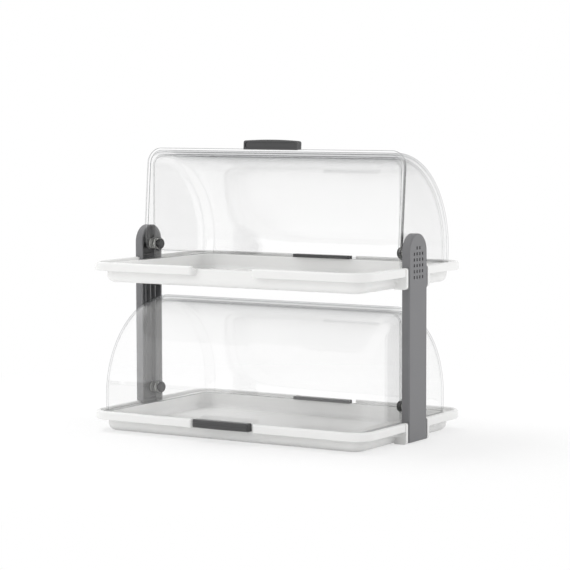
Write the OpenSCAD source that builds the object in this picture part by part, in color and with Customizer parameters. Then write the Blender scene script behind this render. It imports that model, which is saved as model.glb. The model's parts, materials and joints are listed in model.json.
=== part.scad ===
// Two-tier roll-top bread display bin.
// Frame: +X to the right along the long side, -Y to the front, +Z up, z = 0 on the counter.
// The origin is the middle of the lower tray's underside.

/* [Trays] */
// Length of a tray over its rim, along X
tray_length = 438; // [360:1:530]
// Depth of a tray over its rim, along Y
tray_depth = 283; // [235:1:340]
// Height of a tray from its underside to the top of its rim
tray_height = 28.4; // [25:0.1:40]
// Corner radius of the rim, seen from above
rim_corner_r = 28.5; // [20:0.5:45]
// Height of the lip that turns down round the rim
lip_height = 11.8; // [6:0.1:16]
// Thickness of the down-turned lip
lip_thickness = 2.8; // [2:0.1:4]
// Width of the raised border that keeps the covers in
border_width = 6; // [5:0.1:9]
// Rounding of the border's outer top edge
border_round = 3; // [2.8:0.1:4]
// Depth of the channel that the covers' edges stand in
channel_depth = 4.2; // [3:0.1:6]
// Wall of the pan and thickness of the deck round it
tray_wall = 2.6; // [2:0.1:4]
// Thickness of the pan's floor
tray_floor = 3; // [2:0.1:5]
// How far the pan's outer wall stands in from the rim, along X and Y
pan_inset = 14.4; // [12:0.1:24]
// Corner radius of the pan, seen from above
pan_corner_r = 20.5; // [16:0.5:34]
// Rounding along the pan's bottom edge
pan_bottom_r = 10; // [5:0.5:14]
// Gap between a front handle's end and the cut in the rim round it
notch_gap = 4.5; // [2:0.1:8]
// Rounding of the rim's corners at that cut, seen from above
notch_corner_r = 4; // [3:0.5:6]

/* [Tiers] */
// Gap between the upper tray's underside and the lower front handle at its highest
tier_gap = 11.8; // [4:0.1:60]
// Height of the cover pivots above a tray's underside
pivot_height = 46; // [44:0.1:60]

/* [Uprights] */
// Width of an upright, along Y
upright_width = 48.4; // [40:0.2:60]
// Depth of an upright's channel section, along X
upright_depth = 11.4; // [10:0.1:16]
// Wall of an upright
upright_wall = 2.6; // [2.2:0.1:4]
// Rounding along an upright's outer edges
upright_edge_r = 1.8; // [1:0.1:2]
// How far an upright stands proud of the rim's end, along X
upright_proud = 1.5; // [0.5:0.1:4]
// Height of the upright's domed top above the upper pivots
upright_rise = 26.7; // [24.5:0.1:40]
// Width of the wing on each side of an upright, at the trays
wing_width = 3.2; // [2.5:0.1:7]
// How far the wings stand back from the upright's outer face
wing_set_back = 1.5; // [1:0.1:5]
// Width of one air hole, along Y
air_hole_width = 3.3; // [2.5:0.1:5]
// Height of one air hole
air_hole_height = 4.2; // [2.5:0.1:6]
// Spacing of the air holes along Y
air_hole_step_y = 7.65; // [6:0.05:9]
// Spacing of the air holes along Z
air_hole_step_z = 7.75; // [6:0.05:10]

/* [Covers] */
// How far the front covers' curved wall stands in from the rim, at the height of the pivots
cover_inset = 9; // [8.5:0.1:14]
// Gap between the front cover and the rear cover under it, radially
cover_gap = 3.3; // [2.5:0.1:8]
// Gap between the front covers' flange and the uprights, along X
cover_side_gap = 2.1; // [0.5:0.1:6]
// Gap between the end walls of the two covers, along X
end_gap = 2; // [1.9:0.1:4]
// Width of the flange that stiffens the front covers' leading edge
flange_width = 3.5; // [2:0.1:5]
// Wall of a cover
cover_wall = 2.2; // [1.8:0.1:3.5]
// Rounding between a cover's curved wall and its end walls
cover_edge_r = 18; // [8:0.5:30]
// Gap between a closed cover's edge and the channel it stands in
cover_edge_gap = 0.4; // [0.2:0.1:2]
// How far a closed cover reaches past the pivots at the top
cover_overlap = 9; // [6:0.1:20]
// Rounding of the corner of an end wall under the pivot
ear_corner_r = 8; // [4:0.5:9]
// How far the upper front cover is rolled back in the drawn pose, in degrees
upper_front_open = 95; // [0:1:95]

/* [Pivots] */
// Diameter of a pivot pin
pin_d = 8; // [6:0.1:10]
// Clearance round a pin in a cover's bore, radially
pin_clearance = 0.08; // [0.04:0.01:0.1]
// Diameter of the round head on the inside of a pivot pin
knob_d = 14.6; // [12:0.1:20]
// Thickness of the head
knob_thickness = 4.4; // [3:0.1:7]
// Diameter of the raised ring round a bore
boss_d = 19; // [16:0.1:24]
// Height of the raised ring
boss_height = 1.2; // [0.8:0.1:1.6]

/* [Handles] */
// Length of a front handle, along X
front_handle_length = 86; // [70:1:110]
// Height of a front handle when its cover is closed
front_handle_height = 11; // [9:0.1:16]
// How far a front handle stands out from the cover's flange, at its middle
front_handle_out = 11.2; // [9:0.1:18]
// How far a front handle reaches above its cover's edge
front_handle_rise = 4.2; // [3.5:0.1:6]
// Length of a rear handle, along X
rear_handle_length = 92; // [70:1:110]
// Height of a rear handle
rear_handle_height = 4.6; // [3.5:0.1:8]
// How far a rear handle stands in from the cover's inner face
rear_handle_in = 4.5; // [3:0.1:8]

/* [Hidden] */

$fn = 96;

// A hair of extra length that makes a cut go right through.
over = 1;
// Gap between faces that slide past each other without touching.
slide_gap = 0.3;

// Tray heights and half sizes.
deck_top = tray_height - channel_depth;
border_inner_r = 1.5;
cheek_wall = 2.4;
lip_bottom = tray_height - lip_height;
half_length = tray_length / 2;
half_depth = tray_depth / 2;
notch_width = front_handle_length + 2 * notch_gap;
pan_length = tray_length - 2 * pan_inset;
pan_depth = tray_depth - 2 * pan_inset;
pan_inner_r = pan_corner_r - tray_wall;
floor_edge_r = pan_bottom_r - tray_wall;

// Upright planes along X.
upright_outer_x = half_length + upright_proud;
upright_inner_x = upright_outer_x - upright_depth;
upright_plate_x = upright_outer_x - upright_wall;

// Radii and half lengths of the two covers, and how far they reach below the pivots.
front_cover_r = half_depth - cover_inset;
front_inner_r = front_cover_r - cover_wall;
flange_r = front_cover_r + flange_width;
rear_cover_r = front_inner_r - cover_gap;
rear_edge_r = cover_edge_r - 1;
front_half = upright_inner_x - cover_side_gap - flange_width;
rear_half = front_half - cover_wall - end_gap;
rear_inner_half = rear_half - cover_wall;
cover_drop = pivot_height - deck_top - cover_edge_gap;

// Distance from the lower tray's underside to the upper tray's underside.
tier_pitch = pivot_height + flange_r + front_handle_out + tier_gap;

// More of the uprights.
upright_half = upright_width / 2;
upright_top = tier_pitch + pivot_height + upright_rise;
upright_bottom = 1.5;
wing_outer_x = upright_outer_x - wing_set_back;
wing_depth = 5.6;
rib_thickness = 1.8;
rib_depth = 6.4;
rib_step = 11.6;

// Socket of a tray, which stands against the upright's channel.
socket_half = upright_half + wing_width + 4.8;
socket_corner_r = 4;
socket_outer_x = upright_outer_x - 0.4;
socket_inner_x = half_length - pan_inset - tray_wall;
flare_r = pan_inset - lip_thickness;
tongue_fit = 0.25;
room_fit = 0.1;

// Where the pieces on a pin stand along X, from the inside outwards.
knob_outer_x = rear_inner_half - boss_height - 0.2;
knob_inner_x = knob_outer_x - knob_thickness;
washer_gap = 0.15;
collar_inner_x = front_half + boss_height + slide_gap;
pin_end_x = upright_plate_x - 1;
ring_bore_d = pin_d;
collar_d = pin_d + 6;
washer_d = pin_d + 7;

// Pivot blocks inside the channels.
block_fit = 0.2;
block_half = upright_half - upright_wall - block_fit;
lower_block_top = pivot_height + 6.2;
block_bottom = tray_height + 0.4;
slot_bottom = pivot_height - 5.7;
slot_height = 14.3;
slot_width = 10;
ridge_height = 3;

// Air holes near the top of an upright: one row of two, then rows of four.
air_rows = 5;
air_top_row = upright_top - 19;

// Handles. Heights and distances are about the pivot axis of a closed cover at the front.
front_handle_top = front_handle_rise - cover_drop;
front_handle_bottom = front_handle_top - front_handle_height;
front_handle_nose = -flange_r - front_handle_out;
front_handle_end_r = 4;
nose_r = 3.2;
nose_bow_r = 620;
groove_r = 3;
groove_depth = 0.7;
hollow_border = 2.4;
hollow_depth = 1.2;
tab_length = front_handle_length - 18;
tab_reach = 6;
rear_handle_r = front_inner_r - 0.5;
rear_handle_sole = 1.5;
rear_handle_end_r = 3;

// A rectangle with round corners, centred.
module round_rect(l, w, r) {
    square([l - 2 * r, w], center = true);
    square([l, w - 2 * r], center = true);
    for (sx = [-1, 1], sy = [-1, 1])
        translate([sx * (l / 2 - r), sy * (w / 2 - r)])
            circle(r);
}

// Half of a pan's section: straight outer wall with a round bottom edge, from u = 0 to u = r.
module pan_corner_section(r, h, edge) {
    translate([0, edge])
        square([r, h - edge]);
    square([r - edge, h]);
    translate([r - edge, edge])
        intersection() {
            circle(edge);
            translate([0, -edge])
                square([edge, edge]);
        }
}

// Whole section of a pan, w wide, with both bottom edges round.
module pan_section(w, h, edge) {
    translate([-w / 2, edge])
        square([w, h - edge]);
    translate([-w / 2 + edge, 0])
        square([w - 2 * edge, h]);
    for (s = [-1, 1])
        translate([s * (w / 2 - edge), edge])
            circle(edge);
}

// A solid tub: upright walls, round corners and a round bottom edge.
module tub(l, w, h, r, edge) {
    translate([-(l / 2 - r), 0, 0])
        rotate([90, 0, 90])
            linear_extrude(l - 2 * r)
                pan_section(w, h, edge);
    translate([0, w / 2 - r, 0])
        rotate([90, 0, 0])
            linear_extrude(w - 2 * r)
                pan_section(l, h, edge);
    for (sx = [-1, 1], sy = [-1, 1])
        translate([sx * (l / 2 - r), sy * (w / 2 - r), 0])
            rotate_extrude()
                pan_corner_section(r, h, edge);
}

// Sweeps a flat section round a rectangle with round corners. In the section, x is the
// distance in from the outline, and must stay below r.
module sweep_round(l, w, r) {
    for (sx = [-1, 1], sy = [-1, 1])
        translate([sx * (l / 2 - r), sy * (w / 2 - r), 0])
            rotate([0, 0, sx > 0 ? (sy > 0 ? 0 : 270) : (sy > 0 ? 90 : 180)])
                rotate_extrude(angle = 90)
                    translate([r, 0])
                        mirror([1, 0])
                            children();
    for (s = [0, 180])
        rotate([0, 0, s]) {
            translate([-(l / 2 - r), -w / 2, 0])
                rotate([90, 0, 90])
                    linear_extrude(l - 2 * r)
                        children();
            translate([l / 2, w / 2 - r, 0])
                rotate([90, 0, 0])
                    linear_extrude(w - 2 * r)
                        mirror([1, 0])
                            children();
        }
}

// Mirrors a right-hand piece to the left when side is -1.
module on_side(side) {
    mirror([side < 0 ? 1 : 0, 0, 0])
        children();
}

// A round bar or hole along X, from x0 to x1, on the pivot axis of a tier.
module along_x(d, x0, x1) {
    translate([x0, 0, pivot_height])
        rotate([0, 90, 0])
            cylinder(d = d, h = x1 - x0);
}

// Section of the raised border, from the rim's outer face at x = 0 to its inner face.
module border_section(width) {
    translate([0, deck_top - tray_wall])
        square([width, tray_height - border_round - deck_top + tray_wall]);
    translate([border_round, deck_top])
        square([width - border_round, channel_depth - border_inner_r]);
    translate([border_round, deck_top])
        square([width - border_round - border_inner_r, channel_depth]);
    translate([border_round, tray_height - border_round])
        intersection() {
            circle(border_round);
            translate([-border_round, 0])
                square(border_round);
        }
    translate([width - border_inner_r, tray_height - border_inner_r])
        circle(border_inner_r);
}

// Section of the rim: the border and the lip turned down from it.
module rim_section() {
    translate([0, lip_bottom + lip_thickness / 2])
        square([lip_thickness, lip_height - lip_thickness / 2 - border_round]);
    translate([lip_thickness / 2, lip_bottom + lip_thickness / 2])
        circle(d = lip_thickness);
    border_section(border_width);
}

// Side view of the block at the middle of each short side, which carries the tray.
module socket_section() {
    translate([socket_inner_x, socket_corner_r])
        square([socket_outer_x - socket_inner_x, deck_top - socket_corner_r]);
    translate([socket_inner_x, 0])
        square([socket_outer_x - socket_corner_r - socket_inner_x, deck_top]);
    translate([socket_outer_x - socket_corner_r, socket_corner_r])
        circle(socket_corner_r);
    translate([socket_outer_x, 0])
        mirror([1, 0])
            border_section(border_width + socket_outer_x - half_length);
}

// The block, with a hollow curve on each side where it meets the pan.
module tray_socket() {
    translate([0, socket_half, 0])
        rotate([90, 0, 0])
            linear_extrude(2 * socket_half)
                socket_section();
    translate([half_length - pan_inset - 1, 0, pan_bottom_r])
        linear_extrude(deck_top - pan_bottom_r - 1)
            for (s = [0, 1])
                mirror([0, s])
                    translate([0, socket_half - 1])
                        difference() {
                            square([flare_r + 1, flare_r + 1]);
                            translate([flare_r + 1, flare_r + 1])
                                circle(flare_r);
                        }
}

// Room for the upright and its wings in a tray's end, and the tongue left inside it.
module upright_room() {
    wing_half = upright_half + wing_width + room_fit;
    difference() {
        union() {
            translate([upright_inner_x, -upright_half - room_fit, -over])
                cube([upright_depth + over, upright_width + 2 * room_fit,
                      tray_height + 2 * over]);
            translate([wing_outer_x - wing_depth - room_fit, -wing_half, -over])
                cube([wing_depth + wing_set_back + over, 2 * wing_half,
                      tray_height + 2 * over]);
        }
        translate([upright_inner_x - over, -upright_half + upright_wall + tongue_fit, 2])
            cube([upright_depth - upright_wall - tongue_fit + over,
                  upright_width - 2 * upright_wall - 2 * tongue_fit, deck_top - 2]);
    }
}

// Cut through the front rim that takes the handle, seen from above.
module notch_outline() {
    translate([-notch_width / 2, -half_depth - over])
        square([notch_width, pan_inset + over]);
    for (s = [0, 1])
        mirror([s, 0])
            difference() {
                translate([notch_width / 2 - over, -half_depth - over])
                    square([notch_corner_r + over, notch_corner_r + over]);
                translate([notch_width / 2 + notch_corner_r, -half_depth + notch_corner_r])
                    circle(notch_corner_r);
                translate([notch_width / 2, -half_depth + notch_corner_r])
                    square([2 * notch_corner_r, over]);
            }
}

// Wall that closes the rim at one end of that cut, seen from above.
module cheek_outline() {
    translate([notch_width / 2, -half_depth + notch_corner_r])
        square([cheek_wall, pan_inset - notch_corner_r + 1]);
    translate([notch_width / 2 + notch_corner_r, -half_depth + notch_corner_r])
        intersection() {
            difference() {
                circle(notch_corner_r);
                circle(notch_corner_r - cheek_wall);
            }
            translate([-notch_corner_r, -notch_corner_r])
                square(notch_corner_r);
        }
}

module tray() {
    difference() {
        union() {
            translate([0, 0, deck_top - tray_wall])
                linear_extrude(tray_wall)
                    round_rect(tray_length - lip_thickness, tray_depth - lip_thickness,
                               rim_corner_r - lip_thickness / 2);
            sweep_round(tray_length, tray_depth, rim_corner_r)
                rim_section();
            tub(pan_length, pan_depth, deck_top, pan_corner_r, pan_bottom_r);
            for (side = [-1, 1])
                on_side(side)
                    tray_socket();
            for (sx = [0, 1], sy = [0, 1])
                mirror([sx, 0, 0])
                    mirror([0, sy, 0])
                        translate([0, 0, lip_bottom])
                            linear_extrude(deck_top - lip_bottom)
                                cheek_outline();
        }
        translate([0, 0, tray_floor])
            tub(pan_length - 2 * tray_wall, pan_depth - 2 * tray_wall, tray_height,
                pan_inner_r, floor_edge_r);
        for (side = [-1, 1])
            on_side(side)
                upright_room();
        for (s = [0, 1])
            mirror([0, s, 0])
                translate([0, 0, lip_bottom - over])
                    linear_extrude(lip_height + 2 * over)
                        notch_outline();
    }
}

// Outline of an upright seen along X: straight sides and a half-round top.
module upright_outline(half, bottom, top) {
    translate([-half, bottom])
        square([2 * half, top - half - bottom]);
    translate([0, top - half])
        circle(half);
}

// Stands a flat YZ outline up along X, from x0 to x1.
module slab_x(x0, x1) {
    translate([x0, 0, 0])
        rotate([90, 0, 90])
            linear_extrude(x1 - x0)
                children();
}

module air_holes() {
    for (row = [0:air_rows], column = [-1.5, -0.5, 0.5, 1.5])
        if (row > 0 || abs(column) < 1)
            translate([column * air_hole_step_y - air_hole_width / 2,
                       air_top_row - row * air_hole_step_z - air_hole_height / 2])
                square([air_hole_width, air_hole_height]);
}

// The solid shape of an upright, with its outer edge rounded all the way round.
module upright_body() {
    straight = upright_top - upright_half - upright_bottom;
    depth = upright_depth;
    edge = upright_edge_r;
    translate([upright_inner_x, 0, upright_bottom])
        linear_extrude(straight) {
            translate([0, -upright_half])
                square([depth - edge, upright_width]);
            translate([0, -upright_half + edge])
                square([depth, upright_width - 2 * edge]);
            for (s = [-1, 1])
                translate([depth - edge, s * (upright_half - edge)])
                    circle(edge);
        }
    translate([upright_inner_x, 0, upright_bottom + straight])
        rotate([0, 90, 0])
            rotate_extrude() {
                square([upright_half, depth - edge]);
                square([upright_half - edge, depth]);
                translate([upright_half - edge, depth - edge])
                    circle(edge);
            }
}

module upright() {
    difference() {
        upright_body();
        slab_x(upright_inner_x - over, upright_plate_x)
            upright_outline(upright_half - upright_wall, upright_bottom - over,
                            upright_top - upright_wall);
        slab_x(upright_plate_x - over, upright_outer_x + over)
            air_holes();
    }
    for (y = [-rib_step, 0, rib_step])
        translate([upright_plate_x - rib_depth, y - rib_thickness / 2, lower_block_top + 0.5])
            cube([rib_depth, rib_thickness, tier_pitch - lower_block_top - 1]);
    for (z = [0, tier_pitch], s = [-1, 1])
        translate([wing_outer_x - wing_depth,
                   s > 0 ? upright_half : -upright_half - wing_width,
                   z + (z > 0 ? 0 : upright_bottom)])
            cube([wing_depth, wing_width, tray_height - 0.4 - (z > 0 ? 0 : upright_bottom)]);
}

// Block that fills an upright's channel round a pivot and carries the pin.
module pivot_block(upper) {
    top = upper ? pivot_height + upright_rise - upright_wall - block_fit : lower_block_top;
    difference() {
        slab_x(upright_inner_x, upright_plate_x)
            if (upper)
                upright_outline(block_half, block_bottom, top);
            else
                translate([-block_half, block_bottom])
                    square([2 * block_half, top - block_bottom]);
        along_x(pin_d, upright_inner_x - over, pin_end_x);
        if (upper)
            translate([upright_inner_x - over, -block_half + 3, slot_bottom])
                cube([over + 5, slot_width - 3, slot_height]);
        translate([upright_inner_x - over, -block_half - over, block_bottom + 4])
            cube([over + 1.6, 2 * block_half + 2 * over, ridge_height]);
    }
}

// Pin with a flat round head on the inside.
module knob() {
    along_x(pin_d, knob_outer_x - over, pin_end_x);
    along_x(knob_d, knob_inner_x + 1, knob_outer_x);
    translate([knob_inner_x, 0, pivot_height])
        rotate([0, 90, 0])
            cylinder(d1 = knob_d - 2, d2 = knob_d, h = 1);
}

// Ring on the pin between the front cover's end wall and the upright.
module collar() {
    difference() {
        along_x(collar_d, collar_inner_x, upright_inner_x);
        along_x(ring_bore_d, collar_inner_x - over, upright_inner_x + over);
    }
}

// Ring on the pin between the two covers' end walls.
module washer() {
    difference() {
        along_x(washer_d, rear_half + washer_gap, rear_half + end_gap - washer_gap);
        along_x(ring_bore_d, rear_half, rear_half + end_gap);
    }
}

// Section of a drum in the plane through its axis: x is the radius, y runs along the axis.
module drum_section(r, half, edge) {
    translate([0, -half])
        square([r - edge, 2 * half]);
    translate([0, -half + edge])
        square([r, 2 * half - 2 * edge]);
    for (s = [-1, 1])
        translate([r - edge, s * (half - edge)])
            circle(edge);
}

module drum(r, half, edge) {
    rotate([0, 90, 0])
        rotate_extrude($fn = 180)
            drum_section(r, half, edge);
}

// Side view of a closed front cover: x runs along Y, with the corner under the pivot rounded.
module cover_outline(reach) {
    translate([-reach, -cover_drop])
        square([reach + cover_overlap - ear_corner_r, reach + cover_drop]);
    translate([-reach, -cover_drop + ear_corner_r])
        square([reach + cover_overlap, reach + cover_drop - ear_corner_r]);
    translate([cover_overlap - ear_corner_r, -cover_drop + ear_corner_r])
        circle(ear_corner_r);
}

// Flange along the leading edge and down the two end walls, with a tab that holds the handle.
module flange() {
    half = front_half + flange_width;
    intersection() {
        drum(flange_r, half, cover_edge_r + flange_width);
        translate([-half - over, -flange_r - over, -cover_drop])
            cube([2 * half + 2 * over, flange_r + over, cover_wall]);
    }
    translate([-tab_length / 2, -flange_r - tab_reach, -cover_drop])
        cube([tab_length, 2 * tab_reach, cover_wall]);
}

// A closed cover at the front, about its own pivot axis. boss_side is 1 where the raised ring
// round the bore faces outwards, and -1 where it faces inwards.
module cover(r, half, edge, boss_side) {
    boss_x = boss_side > 0 ? half : half - cover_wall - boss_height;
    difference() {
        union() {
            intersection() {
                difference() {
                    drum(r, half, edge);
                    drum(r - cover_wall, half - cover_wall, edge - cover_wall);
                }
                slab_x(-half - over, half + over)
                    cover_outline(r + over);
            }
            if (boss_side > 0)
                difference() {
                    flange();
                    drum(r - cover_wall / 2, half - cover_wall / 2, edge - cover_wall / 2);
                }
            for (s = [-1, 1])
                on_side(s)
                    translate([boss_x, 0, 0])
                        rotate([0, 90, 0])
                            intersection() {
                                cylinder(d = boss_d, h = boss_height);
                                translate([-boss_d, -boss_d, 0])
                                    cube([2 * boss_d, boss_d + cover_overlap, boss_height]);
                            }
        }
        translate([-half - 2 * over, 0, 0])
            rotate([0, 90, 0])
                cylinder(d = pin_d + 2 * pin_clearance, h = 2 * half + 4 * over);
    }
}

module front_cover() {
    cover(front_cover_r, front_half, cover_edge_r, 1);
}

// Step in the rear cover's edge that takes the rear handle's sole.
module sole_cut() {
    half = rear_handle_length / 2 - 1;
    translate([-half, -rear_cover_r - over, -cover_drop - over])
        cube([2 * half, 20, over + rear_handle_sole]);
}

module rear_cover() {
    difference() {
        cover(rear_cover_r, rear_half, rear_edge_r, -1);
        sole_cut();
    }
}

// Section of a front handle: x is the distance from the nose, and the nose is rounded and has
// a shallow groove along it.
module front_handle_section() {
    depth = -front_handle_nose - flange_r / 2;
    middle = front_handle_bottom + front_handle_height / 2;
    difference() {
        union() {
            translate([nose_r, front_handle_bottom])
                square([depth - nose_r, front_handle_height]);
            translate([0, front_handle_bottom + nose_r])
                square([depth, front_handle_height - 2 * nose_r]);
            for (z = [front_handle_bottom + nose_r, front_handle_top - nose_r])
                translate([nose_r, z])
                    circle(nose_r);
        }
        translate([groove_depth - groove_r, middle])
            circle(groove_r);
    }
}

// The section swept along a wide arc, so the nose bows forwards at its middle.
module bowed_bar() {
    half_angle = asin(front_handle_length / 2 / nose_bow_r) + 1;
    translate([0, front_handle_nose + nose_bow_r, 0])
        rotate([0, 0, 270 - half_angle])
            rotate_extrude(angle = 2 * half_angle, $fn = 1440)
                translate([nose_bow_r, 0])
                    mirror([1, 0])
                        front_handle_section();
}

// A flat block whose two front corners are round, seen from above.
module block_with_round_ends(l, y0, y1, r, bottom, height) {
    translate([0, (y0 + y1) / 2, bottom])
        linear_extrude(height)
            round_rect(l, y1 - y0, r);
}

module front_handle() {
    back = -flange_r / 2;
    difference() {
        intersection() {
            bowed_bar();
            block_with_round_ends(front_handle_length, front_handle_nose - over, back,
                                  front_handle_end_r + over, front_handle_bottom - over,
                                  front_handle_height + 2 * over);
        }
        rotate([0, 90, 0])
            cylinder(r = flange_r, h = 2 * front_handle_length, center = true, $fn = 180);
        translate([-tab_length / 2, -flange_r - tab_reach, -cover_drop])
            cube([tab_length, 2 * tab_reach, cover_wall]);
        block_with_round_ends(front_handle_length - 2 * hollow_border,
                              front_handle_nose + hollow_border + 1.2, -flange_r + 0.4,
                              front_handle_end_r - 1, front_handle_bottom - over,
                              hollow_depth + over);
    }
}

// Side view of a rear handle, drawn as if it were at the front. It stays inside the front
// cover's inner radius, so the two covers can roll past each other.
module rear_handle_section() {
    inner_r = rear_cover_r - cover_wall;
    inner = rear_handle_in - sqrt(pow(inner_r, 2) - pow(cover_drop, 2));
    intersection() {
        circle(rear_handle_r, $fn = 180);
        translate([-rear_handle_r - over, -cover_drop])
            square([rear_handle_r + over + inner, rear_handle_height]);
    }
}

module rear_handle() {
    difference() {
        intersection() {
            slab_x(-rear_handle_length / 2, rear_handle_length / 2)
                rear_handle_section();
            block_with_round_ends(rear_handle_length, -rear_handle_r, -rear_handle_r / 2,
                                  rear_handle_end_r, -cover_drop - over,
                                  rear_handle_height + 2 * over);
        }
        difference() {
            intersection() {
                difference() {
                    drum(rear_cover_r, rear_half, rear_edge_r);
                    drum(rear_cover_r - cover_wall, rear_half - cover_wall,
                         rear_edge_r - cover_wall);
                }
                translate([-rear_handle_length, -2 * rear_cover_r, -cover_drop])
                    cube([2 * rear_handle_length, 2 * rear_cover_r, rear_cover_r]);
            }
            sole_cut();
        }
    }
}

// Places a front piece, rolled back by an angle in degrees.
module at_front(tier, angle) {
    translate([0, 0, tier + pivot_height])
        rotate([-angle, 0, 0])
            children();
}

// Places a rear piece, closed: the front shape turned to the back.
module at_rear(tier) {
    translate([0, 0, tier + pivot_height])
        mirror([0, 1, 0])
            children();
}

module at_tier(tier, side) {
    translate([0, 0, tier])
        on_side(side)
            children();
}

module lower_tray() { color("white") tray(); }
module upper_tray() { color("white") translate([0, 0, tier_pitch]) tray(); }
module left_upright() { color("dimgray") on_side(-1) upright(); }
module right_upright() { color("dimgray") upright(); }
module lower_left_pivot_block() { color("gray") at_tier(0, -1) pivot_block(false); }
module lower_right_pivot_block() { color("gray") at_tier(0, 1) pivot_block(false); }
module upper_left_pivot_block() { color("gray") at_tier(tier_pitch, -1) pivot_block(true); }
module upper_right_pivot_block() { color("gray") at_tier(tier_pitch, 1) pivot_block(true); }
module lower_left_knob() { color("black") at_tier(0, -1) knob(); }
module lower_right_knob() { color("black") at_tier(0, 1) knob(); }
module upper_left_knob() { color("black") at_tier(tier_pitch, -1) knob(); }
module upper_right_knob() { color("black") at_tier(tier_pitch, 1) knob(); }
module lower_left_collar() { color("silver") at_tier(0, -1) collar(); }
module lower_right_collar() { color("silver") at_tier(0, 1) collar(); }
module upper_left_collar() { color("silver") at_tier(tier_pitch, -1) collar(); }
module upper_right_collar() { color("silver") at_tier(tier_pitch, 1) collar(); }
module lower_left_washer() { color("silver") at_tier(0, -1) washer(); }
module lower_right_washer() { color("silver") at_tier(0, 1) washer(); }
module upper_left_washer() { color("silver") at_tier(tier_pitch, -1) washer(); }
module upper_right_washer() { color("silver") at_tier(tier_pitch, 1) washer(); }
module lower_front_cover() {
    color("lightcyan") at_front(0, 0) front_cover();
}
module lower_front_handle() { color("dimgray") at_front(0, 0) front_handle(); }
module lower_rear_cover() {
    color("lightblue") at_rear(0) rear_cover();
}
module lower_rear_handle() { color("dimgray") at_rear(0) rear_handle(); }
module upper_front_cover() {
    color("lightcyan") at_front(tier_pitch, upper_front_open) front_cover();
}
module upper_front_handle() {
    color("dimgray") at_front(tier_pitch, upper_front_open) front_handle();
}
module upper_rear_cover() {
    color("lightblue") at_rear(tier_pitch) rear_cover();
}
module upper_rear_handle() { color("dimgray") at_rear(tier_pitch) rear_handle(); }

lower_tray();
upper_tray();
left_upright();
right_upright();
lower_left_pivot_block();
lower_right_pivot_block();
upper_left_pivot_block();
upper_right_pivot_block();
lower_left_knob();
lower_right_knob();
upper_left_knob();
upper_right_knob();
lower_left_collar();
lower_right_collar();
upper_left_collar();
upper_right_collar();
lower_left_washer();
lower_right_washer();
upper_left_washer();
upper_right_washer();
lower_front_cover();
lower_front_handle();
lower_rear_cover();
lower_rear_handle();
upper_front_cover();
upper_front_handle();
upper_rear_cover();
upper_rear_handle();
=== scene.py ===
import json
import math
import bpy
from mathutils import Matrix, Vector

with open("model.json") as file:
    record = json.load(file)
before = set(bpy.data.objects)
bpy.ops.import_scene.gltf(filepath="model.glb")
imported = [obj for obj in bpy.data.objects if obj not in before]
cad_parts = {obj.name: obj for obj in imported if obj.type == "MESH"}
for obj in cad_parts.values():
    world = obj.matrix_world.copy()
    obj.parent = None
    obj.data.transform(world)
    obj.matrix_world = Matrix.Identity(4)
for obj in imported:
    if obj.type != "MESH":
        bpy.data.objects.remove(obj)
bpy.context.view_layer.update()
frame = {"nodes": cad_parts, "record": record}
print("frame loaded:", len(frame["nodes"]), "nodes")


def hexToLinear(code):
    # sRGB hex to linear: c/12.92 below 0.04045, else ((c + 0.055) / 1.055) to the power 2.4
    channels = [int(code[i:i + 2], 16) / 255 for i in (1, 3, 5)]
    return [c / 12.92 if c <= 0.04045 else ((c + 0.055) / 1.055) ** 2.4 for c in channels] + [1.0]


def addNode(tree, kind, settings=None, **links):
    # one node with its settings; a link's value is a number, a colour or another node's output
    node = tree.nodes.new(kind)
    for key, value in (settings or {}).items():
        setattr(node, key, value)
    for key, value in links.items():
        socket = node.inputs[int(key[1:]) if key[0] == "i" and key[1:].isdigit() else key.replace("_", " ")]
        if isinstance(value, bpy.types.NodeSocket):
            tree.links.new(value, socket)
        else:
            socket.default_value = value
    return node


def newMaterial(name):
    material = bpy.data.materials.new(name)
    material.use_nodes = True
    material.node_tree.nodes.clear()
    return material, material.node_tree


# moulded plastic: an even colour with faint cloudy mottling, a fine spark-eroded grain and soft gloss
mottle = {"cloudDetail": 3.0, "grainDetail": 2.0, "low": 0.3, "high": 0.7}  # most noise lies from low to high


def mouldedPlastic(name, look):
    material, tree = newMaterial(name)
    place = addNode(tree, "ShaderNodeTexCoord").outputs["Object"]
    cloud = addNode(tree, "ShaderNodeTexNoise", Vector=place, Scale=1 / look["cloudSize"],
                    Detail=mottle["cloudDetail"])
    grain = addNode(tree, "ShaderNodeTexNoise", Vector=place, Scale=1 / look["grainSize"],
                    Detail=mottle["grainDetail"])
    tint = addNode(tree, "ShaderNodeMix", {"data_type": "RGBA"}, i0=cloud.outputs["Fac"],
                   i6=hexToLinear(look["dark"]), i7=hexToLinear(look["light"]))
    gloss = addNode(tree, "ShaderNodeMapRange", Value=cloud.outputs["Fac"], From_Min=mottle["low"],
                    From_Max=mottle["high"], To_Min=look["roughness"] - look["glossChange"],
                    To_Max=look["roughness"] + look["glossChange"])
    bump = addNode(tree, "ShaderNodeBump", Height=grain.outputs["Fac"], Strength=look["grainStrength"],
                   Distance=look["grainDepth"])
    shader = addNode(tree, "ShaderNodeBsdfPrincipled", Base_Color=tint.outputs["Result"], IOR=look["ior"],
                     Roughness=gloss.outputs["Result"], Normal=bump.outputs["Normal"])
    if "milk" in look:
        shader.inputs["Subsurface Weight"].default_value = look["milk"]
        shader.inputs["Subsurface Radius"].default_value = (1.0, 1.0, 1.0)
        shader.inputs["Subsurface Scale"].default_value = look["milkDepth"]
    addNode(tree, "ShaderNodeOutputMaterial", Surface=shader.outputs["BSDF"])
    return material


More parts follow.
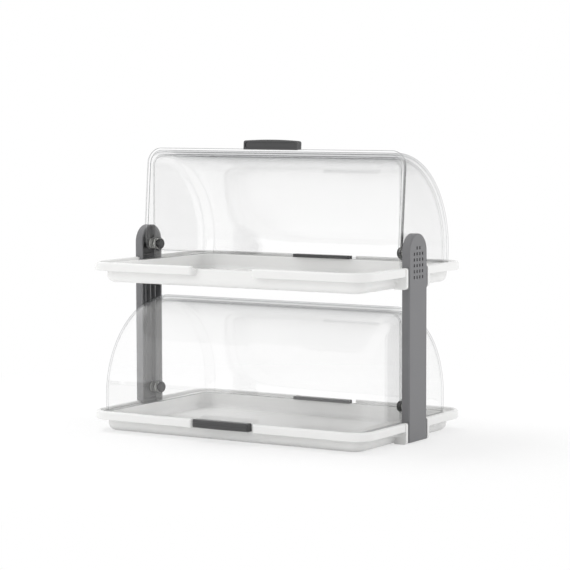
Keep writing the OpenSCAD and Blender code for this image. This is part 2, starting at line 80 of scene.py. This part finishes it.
# polypropylene, injection moulded and polished: white with a milky depth and a wet-looking gloss
trayLook = {"dark": "#EAEAE9", "light": "#F0F0EF", "cloudSize": 0.09, "grainSize": 0.0022,
            "grainStrength": 0.12, "grainDepth": 0.00005, "roughness": 0.22, "glossChange": 0.03,
            "ior": 1.49, "milk": 0.1, "milkDepth": 0.0015}
# ABS, moulded in a finely eroded tool: a satin charcoal, lifted to a mid grey by painted sheen
uprightLook = {"dark": "#6E6E70", "light": "#767678", "cloudSize": 0.05, "grainSize": 0.0009,
               "grainStrength": 0.35, "grainDepth": 0.00006, "roughness": 0.42, "glossChange": 0.05,
               "ior": 1.54}
# the same ABS in a rougher tool: duller, and darker than the upright's painted sheen; set back in its channel
pivotBlockLook = {"dark": "#343435", "light": "#3C3C3D", "cloudSize": 0.03, "grainSize": 0.0009,
                  "grainStrength": 0.4, "grainDepth": 0.00006, "roughness": 0.5, "glossChange": 0.04,
                  "ior": 1.54}
# ABS that hands keep smooth: nearly black with a soft line of light along the nose
handleLook = {"dark": "#3A3A3B", "light": "#424243", "cloudSize": 0.03, "grainSize": 0.0009,
              "grainStrength": 0.35, "grainDepth": 0.00006, "roughness": 0.36, "glossChange": 0.05,
              "ior": 1.54}
# nylon, moulded: black with a soft shine on the heads of the pins
knobLook = {"dark": "#1E1E1F", "light": "#262627", "cloudSize": 0.01, "grainSize": 0.0006,
            "grainStrength": 0.25, "grainDepth": 0.00004, "roughness": 0.33, "glossChange": 0.04,
            "ior": 1.53}
# acetal, moulded in its natural colour: off-white rings, slightly waxy
ringLook = {"dark": "#CFCFCB", "light": "#DADAD6", "cloudSize": 0.01, "grainSize": 0.0006,
            "grainStrength": 0.15, "grainDepth": 0.00003, "roughness": 0.35, "glossChange": 0.03,
            "ior": 1.48}


# styrene acrylonitrile, moulded clear: colourless walls, greyed by painted shade where seen on edge and along
# their edges
coverLook = {"tint": "#FFFFFF", "grazeShadeGrey": "#989A9C", "grazePower": 7.0, "edgeShadeGrey": "#868889",
             "edgeRadius": 0.0012, "edgeGain": 7.0, "roughness": 0.02, "hazeShare": 0.5, "waveSize": 0.09,
             "ior": 1.57, "mostShine": 0.15, "shadowTint": "#FBFBFB"}


# The walls are thin and even, so light goes straight on through them. Three things show them: their gloss,
# painted shade that greys them towards grazing sight, and a line of painted shade along each moulded edge.
def clearCover(name, look):
    material, tree = newMaterial(name)
    place = addNode(tree, "ShaderNodeTexCoord").outputs["Object"]
    wave = addNode(tree, "ShaderNodeTexNoise", Vector=place, Scale=1 / look["waveSize"], Detail=0.0)
    haze = addNode(tree, "ShaderNodeMapRange", Value=wave.outputs["Fac"],
                   To_Min=look["roughness"] * (1 - look["hazeShare"]),
                   To_Max=look["roughness"] * (1 + look["hazeShare"]))
    # painted shade at grazing sight, for the grey that refraction gives a wall seen on edge:
    # (1 - cosine of the angle between sight and the wall's normal) to a high power
    facing = addNode(tree, "ShaderNodeLayerWeight", Blend=0.5)
    graze = addNode(tree, "ShaderNodeMath", {"operation": "POWER"}, i0=facing.outputs["Facing"],
                    i1=look["grazePower"])
    # painted shade: a grey line along each moulded edge, for the dark line that refraction in its rounding
    # gives
    soft = addNode(tree, "ShaderNodeBevel", {"samples": 8}, Radius=look["edgeRadius"])
    own = addNode(tree, "ShaderNodeNewGeometry")
    # the rounded normal leaves the wall's own only near an edge: share = gain * (1 - cosine between the two)
    alike = addNode(tree, "ShaderNodeVectorMath", {"operation": "DOT_PRODUCT"}, i0=soft.outputs["Normal"],
                    i1=own.outputs["Normal"])
    sameLine = addNode(tree, "ShaderNodeMath", {"operation": "ABSOLUTE"}, i0=alike.outputs["Value"])
    edge = addNode(tree, "ShaderNodeMapRange", Value=sameLine.outputs[0], From_Min=1.0,
                   From_Max=1.0 - 1 / look["edgeGain"])
    # the clear colour with painted shade mixed in towards grazing sight
    wall = addNode(tree, "ShaderNodeMix", {"data_type": "RGBA"}, i0=graze.outputs[0],
                   i6=hexToLinear(look["tint"]), i7=hexToLinear(look["grazeShadeGrey"]))
    tint = addNode(tree, "ShaderNodeMix", {"data_type": "RGBA"}, i0=edge.outputs["Result"],
                   i6=wall.outputs["Result"], i7=hexToLinear(look["edgeShadeGrey"]))
    path = addNode(tree, "ShaderNodeLightPath")
    passed = addNode(tree, "ShaderNodeMix", {"data_type": "RGBA"}, i0=path.outputs["Is Shadow Ray"],
                     i6=tint.outputs["Result"], i7=hexToLinear(look["shadowTint"]))
    through = addNode(tree, "ShaderNodeBsdfTransparent", Color=passed.outputs["Result"])
    gloss = addNode(tree, "ShaderNodeBsdfGlossy", Color=hexToLinear(look["tint"]),
                    Roughness=haze.outputs["Result"])
    # the Fresnel node inverts the index on a wall's inner side, so it gets the inverse there: both sides
    # then reflect alike
    index = addNode(tree, "ShaderNodeMapRange", Value=own.outputs["Backfacing"], To_Min=look["ior"],
                    To_Max=1 / look["ior"])
    fresnel = addNode(tree, "ShaderNodeFresnel", IOR=index.outputs["Result"])
    # held down at grazing sight, so that the painted shade shows there and not the bright room
    modest = addNode(tree, "ShaderNodeMath", {"operation": "MINIMUM"}, i0=fresnel.outputs["Fac"],
                     i1=look["mostShine"])
    seen = addNode(tree, "ShaderNodeMath", {"operation": "SUBTRACT"}, i0=1.0,
                   i1=path.outputs["Is Shadow Ray"])
    amount = addNode(tree, "ShaderNodeMath", {"operation": "MULTIPLY"}, i0=modest.outputs[0],
                     i1=seen.outputs[0])
    surface = addNode(tree, "ShaderNodeMixShader", i0=amount.outputs[0], i1=through.outputs["BSDF"],
                      i2=gloss.outputs["BSDF"])
    addNode(tree, "ShaderNodeOutputMaterial", Surface=surface.outputs["Shader"])
    return material


finishes = {
    "tray": mouldedPlastic("polypropylene moulded white", trayLook),
    "upright": mouldedPlastic("ABS moulded charcoal", uprightLook),
    "pivot_block": mouldedPlastic("ABS moulded block", pivotBlockLook),
    "knob": mouldedPlastic("nylon moulded black", knobLook),
    "ring": mouldedPlastic("acetal natural", ringLook),
    "front_cover": clearCover("SAN moulded clear front", coverLook),
    "rear_cover": clearCover("SAN moulded clear rear", coverLook),
    "handle": mouldedPlastic("ABS moulded handle", handleLook),
}
slotOf = {part["node"]: part["material_slot"] for part in frame["record"]["subparts"]}
for nodeName, cadNode in frame["nodes"].items():
    cadNode.data.materials.clear()
    cadNode.data.materials.append(finishes[slotOf[nodeName]])
print("finishes given to", len(slotOf), "nodes")

# studio: a white floor that keeps the object's shadow near it and runs out to plain white
studio = {"floorSize": 40.0, "floorColor": "#F8F8F8", "fibreSize": 0.0045, "fibreStrength": 0.05,
          "fibreDepth": 0.0001, "glow": 0.6, "nearRadius": 0.3, "farRadius": 0.75, "roomStrength": 0.77}


def floorMaterial(look):
    material, tree = newMaterial("paper sweep white")
    place = addNode(tree, "ShaderNodeTexCoord").outputs["Object"]
    fibre = addNode(tree, "ShaderNodeTexNoise", Vector=place, Scale=1 / look["fibreSize"], Detail=2.0)
    bump = addNode(tree, "ShaderNodeBump", Height=fibre.outputs["Fac"], Strength=look["fibreStrength"],
                   Distance=look["fibreDepth"])
    matt = addNode(tree, "ShaderNodeBsdfDiffuse", Color=hexToLinear(look["floorColor"]),
                   Normal=bump.outputs["Normal"])
    # plain white, seen by the eye and in gloss only: it throws no light on the object
    plain = addNode(tree, "ShaderNodeEmission", Strength=1.0)
    path = addNode(tree, "ShaderNodeLightPath")
    seen = addNode(tree, "ShaderNodeMath", {"operation": "MAXIMUM"}, i0=path.outputs["Is Camera Ray"],
                   i1=path.outputs["Is Glossy Ray"])
    seenThrough = addNode(tree, "ShaderNodeMath", {"operation": "MAXIMUM"}, i0=seen.outputs[0],
                          i1=path.outputs["Is Transmission Ray"])
    away = addNode(tree, "ShaderNodeVectorMath", {"operation": "LENGTH"}, i0=place)
    share = addNode(tree, "ShaderNodeMapRange", {"interpolation_type": "SMOOTHSTEP"},
                    Value=away.outputs["Value"], From_Min=look["nearRadius"], From_Max=look["farRadius"],
                    To_Min=look["glow"])
    amount = addNode(tree, "ShaderNodeMath", {"operation": "MULTIPLY"}, i0=share.outputs["Result"],
                     i1=seenThrough.outputs[0])
    surface = addNode(tree, "ShaderNodeMixShader", i0=amount.outputs[0], i1=matt.outputs["BSDF"],
                      i2=plain.outputs["Emission"])
    addNode(tree, "ShaderNodeOutputMaterial", Surface=surface.outputs["Shader"])
    return material


half = studio["floorSize"] / 2
floorMesh = bpy.data.meshes.new("studioFloor")
floorCorners = [(-half, -half, 0), (half, -half, 0), (half, half, 0), (-half, half, 0)]
floorMesh.from_pydata(floorCorners, [], [(0, 1, 2, 3)])
floor = bpy.data.objects.new("studioFloor", floorMesh)
floor.data.materials.append(floorMaterial(studio))
bpy.context.scene.collection.objects.link(floor)

# the room: white wherever it is seen, and a little weaker as light on matt surfaces
world = bpy.data.worlds.new("studioWorld")
world.use_nodes = True
bpy.context.scene.world = world
roomTree = world.node_tree
roomTree.nodes.clear()
roomPath = addNode(roomTree, "ShaderNodeLightPath")
roomStrength = addNode(roomTree, "ShaderNodeMapRange", Value=roomPath.outputs["Is Diffuse Ray"], To_Min=1.0,
                       To_Max=studio["roomStrength"])
roomLight = addNode(roomTree, "ShaderNodeBackground", Color=(1, 1, 1, 1),
                    Strength=roomStrength.outputs["Result"])
addNode(roomTree, "ShaderNodeOutputWorld", Surface=roomLight.outputs["Background"])

# softboxes: where each stands, what it looks at, its size in metres and its power in watts
softboxes = {
    "keyAboveLeft": {"at": (-1.7, 0.1, 2.4), "to": (0, 0, 0.15), "size": (1.8, 1.8), "power": 31},
    "rimBehindRight": {"at": (1.7, 1.7, 0.8), "to": (0, 0, 0.2), "size": (2.2, 1.6), "power": 17},
    "frontSoft": {"at": (-0.6, -3.0, 0.8), "to": (0, 0, 0.1), "size": (2.4, 1.4), "power": 14},
}
for name, box in softboxes.items():
    lamp = bpy.data.lights.new(name, "AREA")
    lamp.shape = "RECTANGLE"
    lamp.size, lamp.size_y = box["size"]
    lamp.energy = box["power"]
    holder = bpy.data.objects.new(name, lamp)
    holder.visible_glossy = False  # gloss shows the white room, without the lamps' hard outlines
    holder.location = box["at"]
    aim = Vector(box["to"]) - Vector(box["at"])
    holder.rotation_euler = aim.to_track_quat("-Z", "Y").to_euler()
    bpy.context.scene.collection.objects.link(holder)

# camera: fitted to the photograph's edges, with a long lens; lengths in metres, angles in degrees, lens in mm
view = {"focal": 140.57, "sensor": 36, "azimuth": 31.603, "elevation": 4.856, "roll": -0.151,
        "target": (0.013287, 0.0, 0.200677), "distance": 3.0522}
turn, lift, tilt = (math.radians(view[k]) for k in ("azimuth", "elevation", "roll"))
back = Vector((math.sin(turn) * math.cos(lift), -math.cos(turn) * math.cos(lift), math.sin(lift)))
right = Vector((math.cos(turn), math.sin(turn), 0))
up = back.cross(right)
right, up = math.cos(tilt) * right + math.sin(tilt) * up, -math.sin(tilt) * right + math.cos(tilt) * up
eye = Vector(view["target"]) + back * view["distance"]
lens = bpy.data.cameras.new("photoCamera")
lens.lens = view["focal"]
lens.sensor_width = view["sensor"]
camera = bpy.data.objects.new("photoCamera", lens)
camera.matrix_world = Matrix(((right.x, up.x, back.x, eye.x), (right.y, up.y, back.y, eye.y),
                              (right.z, up.z, back.z, eye.z), (0, 0, 0, 1)))
bpy.context.scene.collection.objects.link(camera)
bpy.context.scene.camera = camera
bpy.context.scene.view_settings.view_transform = "Standard"
print("studio and camera set")
